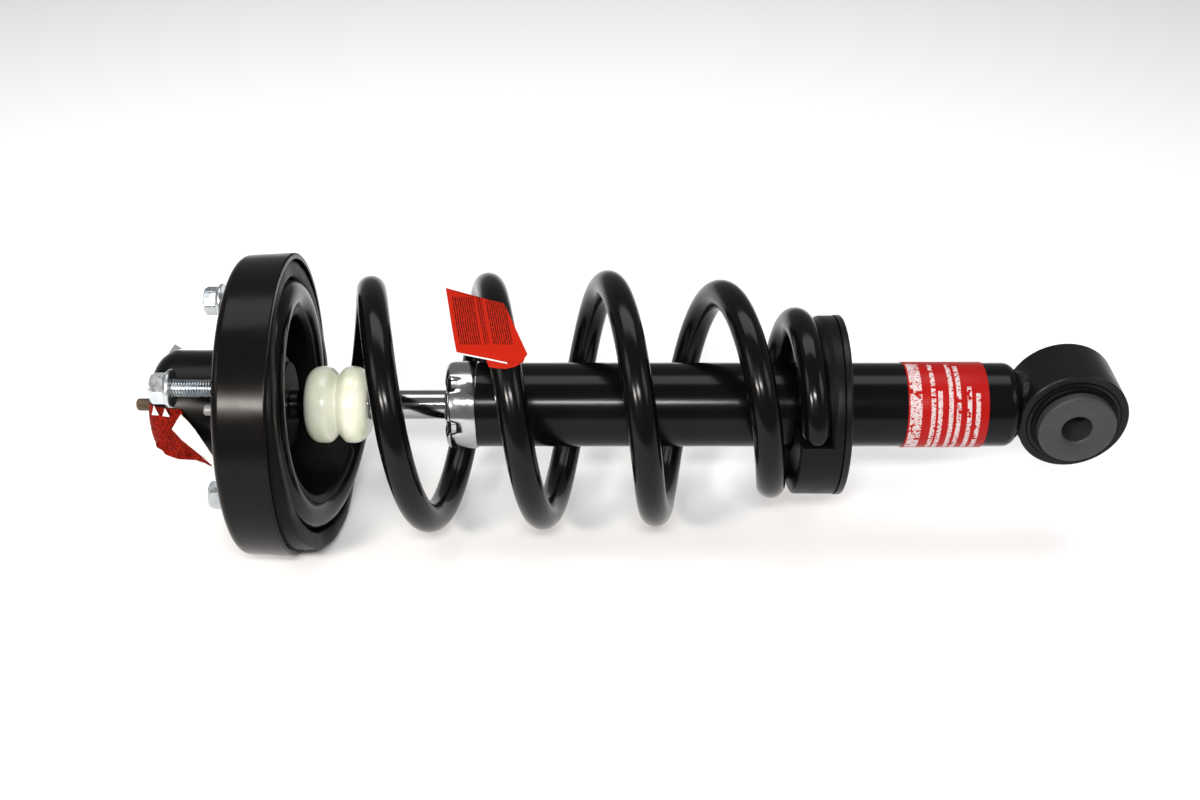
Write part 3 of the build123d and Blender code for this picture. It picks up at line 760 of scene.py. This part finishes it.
# ------------------------------------------------------------------ bump stop and striker cap
bump_low, bump_high = node_mm("bump_stop")
BUMP_R = bump_high.z
bump_side = smooth_curve([
    (0, 15.0), (0.5, 17.4), (2.6, 20.6), (6.0, BUMP_R - 0.5), (10.0, BUMP_R), (14.0, BUMP_R - 0.5),
    (16.6, 20.4), (18.2, 18.4), (19.4, 18.4), (21.0, 20.4), (23.6, BUMP_R - 0.5),
    (27.5, BUMP_R), (31.6, BUMP_R - 0.7), (34.8, 20.4), (37.0, 17.6), (37.5, 15.4),
], 4)
bump_outline = [
    (bump_low.x, ROD_R + 1.0),
    *[(bump_low.x + x, min(r, BUMP_R)) for x, r in bump_side],
    (bump_high.x, ROD_R + 1.0), (bump_high.x - 0.8, ROD_R + 0.3),
    (bump_low.x + 0.8, ROD_R + 0.3),
]
finish_mesh("bump_stop_urethane", *lathe(bump_outline), "bump_stop_body", "bump_urethane",
            urethane, ["bump_stop"], sharp=60)

cap_low, cap_high = node_mm("striker_cap")
CAP_R = cap_high.z
NOTCHES = 6
NOTCH_DEG = 13.0
FIRST_NOTCH_DEG = 62.0
CAP_BORE_R = 25.46
CAP_STEPS = 216


def notch_share(degrees):
    """1 in the middle of a pressed notch, 0 between the notches."""
    step = 360 / NOTCHES
    away = abs((degrees - FIRST_NOTCH_DEG + step / 2) % step - step / 2)
    return smoothstep(1.0 - (away - NOTCH_DEG * 0.45) / (NOTCH_DEG * 0.55))


cap_sections = [
    # x from the cap's top, radius, inward press, forward press
    (1.6, 11.4, 0, 0), (0.2, 11.4, 0, 0), (0.0, 11.7, 0, 0), (0.0, 17.5, 0, 0.4),
    (0.0, 21.0, 0.6, 2.2), (0.25, 23.4, 1.6, 3.4), (1.1, 25.2, 2.0, 3.4),
    (2.4, 26.2, 1.9, 3.2), (4.0, CAP_R, 1.5, 2.4), (7.0, CAP_R, 0.9, 1.0),
    (10.0, CAP_R, 0.3, 0), (12.5, CAP_R, 0, 0), (17.6, CAP_R, 0, 0), (18.4, CAP_R - 0.3, 0, 0),
    (18.5, CAP_BORE_R, 0, 0), (4.2, CAP_BORE_R, 0, 0),
    (2.2, 24.2, 0.6, 0.9), (1.6, 22.6, 0.6, 0.9),
]
cap_rows = []
for x, radius, inward, forward in cap_sections:
    row = []
    for k in range(CAP_STEPS):
        a = 360 * k / CAP_STEPS
        share = notch_share(a)
        row.append((cap_low.x + x + forward * share * 0.5,
                    *around(radius - inward * share, a)))
    cap_rows.append(row)
finish_mesh("striker_pressing", *skin(cap_rows, closed_ends=True), "damper_body", "cap_chrome",
            cap_chrome, ["striker_cap"], sharp=50)

# ------------------------------------------------------------------ lower eye
hub_low, hub_high = node_mm("bushing_hub")
EYE_X = (hub_low.x + hub_high.x) / 2
HUB_R = (hub_high.x - hub_low.x) / 2
HUB_HALF = hub_high.y
BOLT_R = 9.0
FLANGE_INNER = 20.5
HUB_CORE_R = 16.0
EYE = (EYE_X, 0, 0)


def hub_outline():
    half = [
        (-HUB_HALF, BOLT_R + 1.6, 0), (-HUB_HALF, HUB_R, 1.6), (-FLANGE_INNER, HUB_R, 0.6),
        (-FLANGE_INNER, HUB_CORE_R, 0),
    ]
    other = [(-y, r, f) for y, r, f in reversed(half)]
    entry = [(HUB_HALF - 1.4, BOLT_R, 0), (-HUB_HALF + 1.4, BOLT_R, 0)]
    return rounded(half + other + entry)


hub_parts = [lathe(hub_outline(), 96, EYE, "Y")]


def moulding_tick(degrees, side):
    """A small raised rib on the hub's face near its edge."""
    rows = []
    for along, wide in ((15.0, 0.0), (15.4, 0.75), (20.6, 0.75), (21.0, 0.0)):
        row = []
        for across_step in (-1, -0.5, 0.5, 1):
            tangential = across_step * max(wide, 0.05)
            lift = 0.35 if abs(across_step) < 1 and wide else -0.1
            u = along * cos(degrees) - tangential * sin(degrees)
            v = along * sin(degrees) + tangential * cos(degrees)
            row.append((EYE_X + u, side * (HUB_HALF - 0.36 + lift), v))
        rows.append(row)
    return skin(rows, closed_rows=False)


for side in (-1, 1):
    hub_parts += [moulding_tick(a, side) for a in (10, 100, 190, 280)]
finish_mesh("hub_casting", *merge(hub_parts), "bushing_hub_body", "hub_grey", hub_grey,
            ["bushing_hub"], sharp=45)

rubber_side = smooth_curve([(18.2, 25.5), (19.4, 25.0), (20.2, 23.2), (20.0, 20.5), (19.2, 17.5),
                            (18.6, HUB_CORE_R + 0.05)], 4)
rubber_outline = [(-y, r) for y, r in rubber_side] + [(y, r) for y, r in reversed(rubber_side)]
finish_mesh("bushing_rubber_bulge", *lathe(rubber_outline, 96, EYE, "Y"), "damper_body",
            "rubber_black", rubber, ["bushing_rubber"], sharp=60)

# weld between the base and the eye's barrel: a concave, slightly rippled neck
EYE_R = 32.6
BASE_FACE = 463.2
WELD_SIDE = 17.7  # the barrel's half length, less a little
WELD_STEPS = 120
WELD_R, WELD_BASE_R, WELD_WAIST = 19.9, 20.2, 0.92
WELD_CORE_R = 12.0  # hidden inside the base and the barrel


def on_barrel(radius, degrees, deeper):
    """A point on the barrel's left side, or `deeper` inside it."""
    y, z = around(radius, degrees)
    y = max(min(y, WELD_SIDE), -WELD_SIDE)
    return (EYE_X - math.sqrt(EYE_R ** 2 - z ** 2) + deeper, y, z)


def weld_neck():
    rows = []
    random.seed(7)
    for k in range(WELD_STEPS):
        a = 360 * k / WELD_STEPS
        ripple = 0.25 * abs(math.sin(k * 0.9)) + 0.2 * random.random()
        far = on_barrel(WELD_R + ripple, a, -0.1)
        middle = ((BASE_FACE + far[0]) / 2, *(c * WELD_WAIST for c in far[1:]))
        rows.append([
            (BASE_FACE - 0.5, *around(WELD_BASE_R + ripple, a)),
            (BASE_FACE + 0.5, *around(18.9 + ripple, a)),
            middle, far, on_barrel(19.0, a, 1.2),
            on_barrel(WELD_CORE_R, a, 1.5), (BASE_FACE - 1.5, *around(WELD_CORE_R, a)),
        ])
    return skin(rows, closed_ends=True)


finish_mesh("eye_weld_bead", *weld_neck(), "damper_body", "tube_black", weld, ["eye_weld"],
            sharp=70)

# ------------------------------------------------------------------ label and tags
RED = (0.285, 0.005, 0.004)
PALE = (0.50, 0.42, 0.42)
label_low, label_high = node_mm("tube_label")
LABEL_R = label_high.z
LABEL_BACK_R = 25.41
LINES = (  # along the tube from, to; round it from, to
    (395.6, 402.6, -46, 104), (408.0, 410.6, -44, 101), (412.0, 414.6, -46, 53),
    (418.4, 421.0, -42, 102), (422.9, 425.5, -46, 97), (429.2, 431.8, -44, 59),
    (434.3, 436.9, -42, 50),
)
bars = [line[:2] for line in LINES]
spans = [line[2:] for line in LINES]
label_look = bar_material("label_film", RED, PALE, bars, spans)
LABEL_START, LABEL_END = label_low.x + 1.0, label_high.x - 1.2
label_outline = rounded([(LABEL_START, LABEL_BACK_R, 0), (LABEL_START, LABEL_R, 0.15),
                         (LABEL_END, LABEL_R, 0.15), (LABEL_END, LABEL_BACK_R, 0)], 2)
finish_mesh("label_band", *lathe(label_outline, 128), "damper_body", "label_red", label_look,
            ["tube_label"])

TAG_TILT = 35.0


def leaning(x, rise, reach):
    """A point in axes turned TAG_TILT about X: `reach` leans forward and up."""
    return (
        x,
        -reach * cos(TAG_TILT) + rise * sin(TAG_TILT),
        rise * cos(TAG_TILT) + reach * sin(TAG_TILT),
    )


def between(a, b, t):
    return tuple(p + (q - p) * t for p, q in zip(a, b))


def crumple(point, size, amount):
    """Moves a leaning point toward or away from the strut by smooth noise."""
    x, rise, reach = point
    value = noise.noise(Vector((x, rise, reach)) / size)
    return (x, rise, reach + amount * value)


def film(rows, depth=0.3):
    """A thin closed sheet: the rows, and the same rows moved back along the reach axis."""
    back = [[(x, rise, reach - depth) for x, rise, reach in row] for row in rows]
    rows_all = [list(a) + list(reversed(b)) for a, b in zip(rows, back)]
    return skin([[leaning(*p) for p in row] for row in rows_all])


def paint_by_side(piece, second):
    """Gives the faces whose normals look away from the leaning axis the second material."""
    piece.data.materials.append(second)
    outward = Vector((0, -cos(TAG_TILT), sin(TAG_TILT)))
    for face in piece.data.polygons:
        if face.normal.dot(outward) < 0.05:
            face.material_index = 1


PRINT_SLANT = 0.229  # the tag's left edge leans this much along X per unit of rise
PRINT_BLOCKS = ((142.5, 155.2), (156.6, 159.4), (161.2, 172.6))
PRINT_RISE = (33.5, 61.5)


def print_look(name, base, ink, cut, pitch, word_scale, blocks=(), rise_span=None):
    """Paper with fine dark broken lines that stand for its print."""
    made = material(name, base, 0.55, specular=0.03)
    coords = add_node(made, "ShaderNodeTexCoord")
    measures = []
    for slant in (PRINT_SLANT, None):
        dot = add_node(made, "ShaderNodeVectorMath", operation="DOT_PRODUCT")
        link(made, coords.outputs["Object"], dot.inputs[0])
        share = 1.0 if slant is None else slant
        dot.inputs[1].default_value = (
            0.0 if slant is None else 1.0, share * sin(TAG_TILT), share * cos(TAG_TILT)
        )
        measures.append(dot.outputs["Value"])
    across_page, rise = measures
    lines = add_node(made, "ShaderNodeMath", operation="PINGPONG")
    link(made, across_page, lines.inputs[0])
    lines.inputs[1].default_value = pitch * MM / 2
    thick = within(made, lines.outputs["Value"], pitch * MM / 4, 1.0)
    words = ranged(made, object_noise(made, word_scale, 1.0), 0.0, 1.0, cut, cut + 0.06)
    share = times(made, thick, words)
    if blocks:
        page = None
        for low, high in blocks:
            block = within(made, across_page, low * MM, high * MM)
            page = block if page is None else either(made, page, block)
        page = times(made, page, within(made, rise, rise_span[0] * MM, rise_span[1] * MM))
        share = times(made, share, page)
    return ink_mix(made, base, ink, share)


TAG_RED = (0.30, 0.010, 0.003)
tag_print = print_look(
    "tag_print", TAG_RED, (0.02, 0.003, 0.002), 0.36, 1.25, 1100, PRINT_BLOCKS, PRINT_RISE
)
old_red = bumpy(
    print_look("rod_tag_print", (0.20, 0.007, 0.002), (0.030, 0.003, 0.002), 0.44, 1.6, 700),
    260, 1.0, 0.0026,
)

# coil tag: a sheet folded over the second coil. Corners as (x, rise, reach) in millimetres.
COIL_TAG = ((124.8, 66.8, 50.0), (158.7, 57.4, 50.0), (172.9, 28.1, 72.3), (133.4, 29.2, 72.3))
COIL_TAG_BOW = 1.2
WAVE_SIZE, WAVE_DEPTH = 22.0, 0.9
COIL_TAG_CLEAR = 80.1  # the sheet stays this far from the axis, just clear of the wire
COIL_TAG_SAG = ((0.0, 0.0), (0.35, 2.2), (0.72, 4.6), (0.92, 4.4), (1.0, 0.0))


def sag(share):
    """How far the sheet's bottom edge hangs at a share of its width."""
    for (a, first), (b, second) in zip(COIL_TAG_SAG, COIL_TAG_SAG[1:]):
        if share <= b:
            return first + (second - first) * (share - a) / (b - a)
    return 0.0


TAG_DOWN, TAG_ACROSS, FOLD_STEPS = 12, 14, 6
tag_rows = []
for k in range(TAG_DOWN + 1):
    t = k / TAG_DOWN
    left, right = between(COIL_TAG[0], COIL_TAG[3], t), between(COIL_TAG[1], COIL_TAG[2], t)
    row = []
    for m in range(TAG_ACROSS + 1):
        x, rise, reach = between(left, right, m / TAG_ACROSS)
        rise -= sag(m / TAG_ACROSS) * t * t
        reach += COIL_TAG_BOW * math.sin(math.pi * t)
        x, rise, reach = crumple((x, rise, reach), WAVE_SIZE, WAVE_DEPTH)
        row.append((x, rise, max(reach, math.sqrt(COIL_TAG_CLEAR ** 2 - rise ** 2))))
    tag_rows.append(row)
FOLD_COLUMNS = 11  # the fold stops short of the sheet's right edge
low_edge = tag_rows[-1]
fold_rows = []
for k in range(FOLD_STEPS + 1):
    turn = 180 * k / FOLD_STEPS
    fold_rows.append([
        (x + 0.4 * (1 - cos(turn)), rise - 0.9 * sin(turn) - 0.5 * m / TAG_ACROSS,
         reach - 0.75 * (1 - cos(turn)) + 0.2)
        for m, (x, rise, reach) in enumerate(low_edge[:FOLD_COLUMNS])
    ])
TAIL_TOP = ((149.8, 25.6), (155.5, 24.4), (161.7, 23.2), (166.5, 23.2), (171.3, 25.6))
TAIL_LOW = ((151.4, 20.9), (156.0, 20.2), (161.2, 20.0), (166.2, 21.2), (170.6, 23.8))
TAIL_REACH = 75.6
TAIL_STEPS = 4
tail_rows = [
    [(*between(top, low, k / TAIL_STEPS), TAIL_REACH) for top, low in zip(TAIL_TOP, TAIL_LOW)]
    for k in range(TAIL_STEPS + 1)
]
coil_tag = finish_mesh("coil_paper_tag", *merge([film(tag_rows), film(tail_rows)]),
                       "upper_assembly", "tag_red", tag_print, ["coil_tag"], sharp=60)
paint_by_side(coil_tag, tag_white)
squash_along(coil_tag)
coil_fold = finish_mesh("coil_tag_fold", *film(fold_rows, 0.25), "upper_assembly", "tag_red",
                        tag_white, sharp=60)
squash_along(coil_fold)

# rod tag: a crumpled sheet pushed over the rod's tip, folded along its upper edge
ROD_TAG_TOP = (
    (-56.5, 1.5, 6), (-47.7, -0.6, 26), (-40.1, -2.0, 34), (-30.8, -2.6, 35), (-29.4, -5.5, 36),
    (-33.7, -11.3, 37), (-35.2, -14.2, 38), (-29.9, -20.6, 36), (-22.3, -27.7, 32),
    (-14.9, -35.5, 27),
)
ROD_TAG_LOW = (
    (-55.8, -1.5, 8), (-54.2, -5.7, 12), (-52.8, -12.2, 15), (-51.5, -19.9, 17),
    (-48.7, -25.4, 20), (-42.2, -29.7, 24), (-38.0, -31.2, 25), (-33.4, -32.2, 26),
    (-24.0, -32.6, 26), (-15.1, -36.4, 26),
)
ROD_TAG_FLAP = (
    (-25.8, -10.4, 36), (-22.5, -14.6, 36), (-19.7, -18.3, 36), (-16.5, -23.5, 35),
    (-13.5, -28.4, 34), (-11.5, -32.7, 31),
)
dome_low, _ = node_mm("mount_dome")
DOME_R, DOME_ROUND = 33.0, 14.0
CRUMPLE_SIZE = 4.2


def clear_of_dome(point, room=1.1):
    """Pushes a leaning point out to just outside the dome if it's inside."""
    x, rise, reach = point
    into = x - dome_low.x
    if into < -room:
        return point
    share = min(max(into / DOME_ROUND, 0.0), 1.0)
    need = DOME_R - DOME_ROUND + DOME_ROUND * math.sqrt(max(1 - (1 - share) ** 2, 0)) + room
    radius = math.hypot(rise, reach)
    if radius >= need:
        return point
    return (x, rise * need / radius, reach * need / radius)


def strip(top, low, down=8, along=4, wrinkle=3.4):
    """Rows of points from the low edge to the top edge, crumpled, kept off the dome."""
    columns = []
    for i in range(len(top) - 1):
        for s in range(along):
            columns.append((between(top[i], top[i + 1], s / along),
                            between(low[i], low[i + 1], s / along)))
    columns.append((top[-1], low[-1]))
    rows = []
    for a, b in columns:
        rows.append([
            clear_of_dome(crumple(between(a, b, k / down), CRUMPLE_SIZE, wrinkle))
            for k in range(down + 1)
        ])
    return rows


finish_mesh("rod_paper_tag", *film(strip(ROD_TAG_TOP, ROD_TAG_LOW)),
            "upper_assembly", "tag_red", old_red, ["rod_tag"], sharp=14)
# the sheet's white back, folded over along its upper edge, and its turned-up corners
first_fold = ((-30.2, -5.6, 37.2), *ROD_TAG_FLAP)
low_fold = ((-30.6, -6.3, 37.4), ROD_TAG_TOP[6], (-33.0, -16.6, 37.5), *ROD_TAG_TOP[7:10],
            (-13.0, -35.8, 27.5))
white_parts = [film(strip(first_fold, low_fold, 6, 3, 0.7), 0.25)]


FLAP_STEPS = 4


def flap(a, b, c):
    """A thin three-cornered fold with its point at b."""
    shares = [k / FLAP_STEPS for k in range(FLAP_STEPS + 1)]
    rows = [[between(between(a, b, t), between(c, b, t), s) for s in shares] for t in shares]
    rows[-1] = [between(p, b, 0.9) for p in rows[-2]]
    return film(rows, 0.25)


white_parts.append(flap((-47.7, -6.0, 35.0), (-46.5, -0.4, 35.0), (-43.4, -6.2, 35.5)))
white_parts.append(flap((-40.4, -6.6, 38.4), (-39.2, -1.9, 38.0), (-36.2, -7.1, 38.6)))
finish_mesh("rod_tag_reverse", *merge(white_parts), "upper_assembly", "tag_red", tag_white,
            sharp=50)
# painted shade: the turned-up corner is the tag's white back, coloured grey to stand in for the
# shade it lies in
tag_back_painted_shade = material("tag_back_painted_shade", (0.16, 0.16, 0.165), 0.6, specular=0.1)
finish_mesh("rod_tag_corner", *flap((-47.2, 30.9, 4.0), (-44.1, 36.6, 1.0), (-38.7, 33.6, 4.0)),
            "upper_assembly", "tag_red", tag_back_painted_shade, sharp=50)

# ------------------------------------------------------------------ floor, light, camera
floor_mesh = bpy.data.meshes.new("floor")
FLOOR_Z = cad_low.z
FLOOR_HALF = 6.0
floor_mesh.from_pydata(
    [(x * FLOOR_HALF, y * FLOOR_HALF, FLOOR_Z) for x, y in ((-1, -1), (1, -1), (1, 1), (-1, 1))],
    [], [(0, 1, 2, 3)],
)
floor = bpy.data.objects.new("floor", floor_mesh)
bpy.context.collection.objects.link(floor)
floor_mesh.materials.append(material("floor_paper", (0.93, 0.93, 0.93), 0.9, specular=0.1))

CAMERA_DISTANCE = 0.886
CAMERA_ELEVATION = 35.0
AIM = Vector((0.213, 0, 0))
CAMERA_RISE = 0.0027
LENS_MM, SENSOR_MM = 43.9, 36
back = Vector((0, -cos(CAMERA_ELEVATION), sin(CAMERA_ELEVATION)))
up = Vector((0, sin(CAMERA_ELEVATION), cos(CAMERA_ELEVATION)))
camera_data = bpy.data.cameras.new("camera")
camera = bpy.data.objects.new("camera", camera_data)
bpy.context.collection.objects.link(camera)
camera_data.lens = LENS_MM
camera_data.sensor_width = SENSOR_MM
camera.location = AIM + up * CAMERA_RISE + back * CAMERA_DISTANCE
camera.rotation_euler = (-back).to_track_quat("-Z", "Y").to_euler()
bpy.context.scene.camera = camera


def softbox(name, place, target, size, power, color=(1, 1, 1)):
    lamp = bpy.data.lights.new(name, "AREA")
    lamp.shape = "RECTANGLE"
    lamp.size, lamp.size_y = size
    lamp.energy = power
    lamp.color = color
    holder = bpy.data.objects.new(name, lamp)
    bpy.context.collection.objects.link(holder)
    holder.location = place
    aim = Vector(target) - Vector(place)
    holder.rotation_euler = aim.to_track_quat("-Z", "Y").to_euler()


MIDDLE = (0.21, 0, 0)
WORLD_STRENGTH = 0.32
softbox("key_by_camera", (0.21, -0.90, 0.79), MIDDLE, (0.34, 0.09), 9.0)
softbox("overhead", (0.21, 0.35, 1.25), MIDDLE, (1.6, 0.6), 12.0)
softbox("left_window", (-0.30, -0.80, 0.57), (0.0, 0, 0), (0.22, 0.10), 8.0, (1.0, 0.93, 0.86))
softbox("left_side", (-1.1, -0.5, 0.9), MIDDLE, (0.6, 0.6), 4.0)
softbox("right_side", (1.45, -0.5, 0.9), MIDDLE, (0.6, 0.6), 4.0)

world = bpy.data.worlds.new("studio")
bpy.context.scene.world = world
world.use_nodes = True
world.node_tree.nodes["Background"].inputs["Color"].default_value = (1, 1, 1, 1)
world.node_tree.nodes["Background"].inputs["Strength"].default_value = WORLD_STRENGTH
bpy.context.scene.view_settings.view_transform = "Standard"
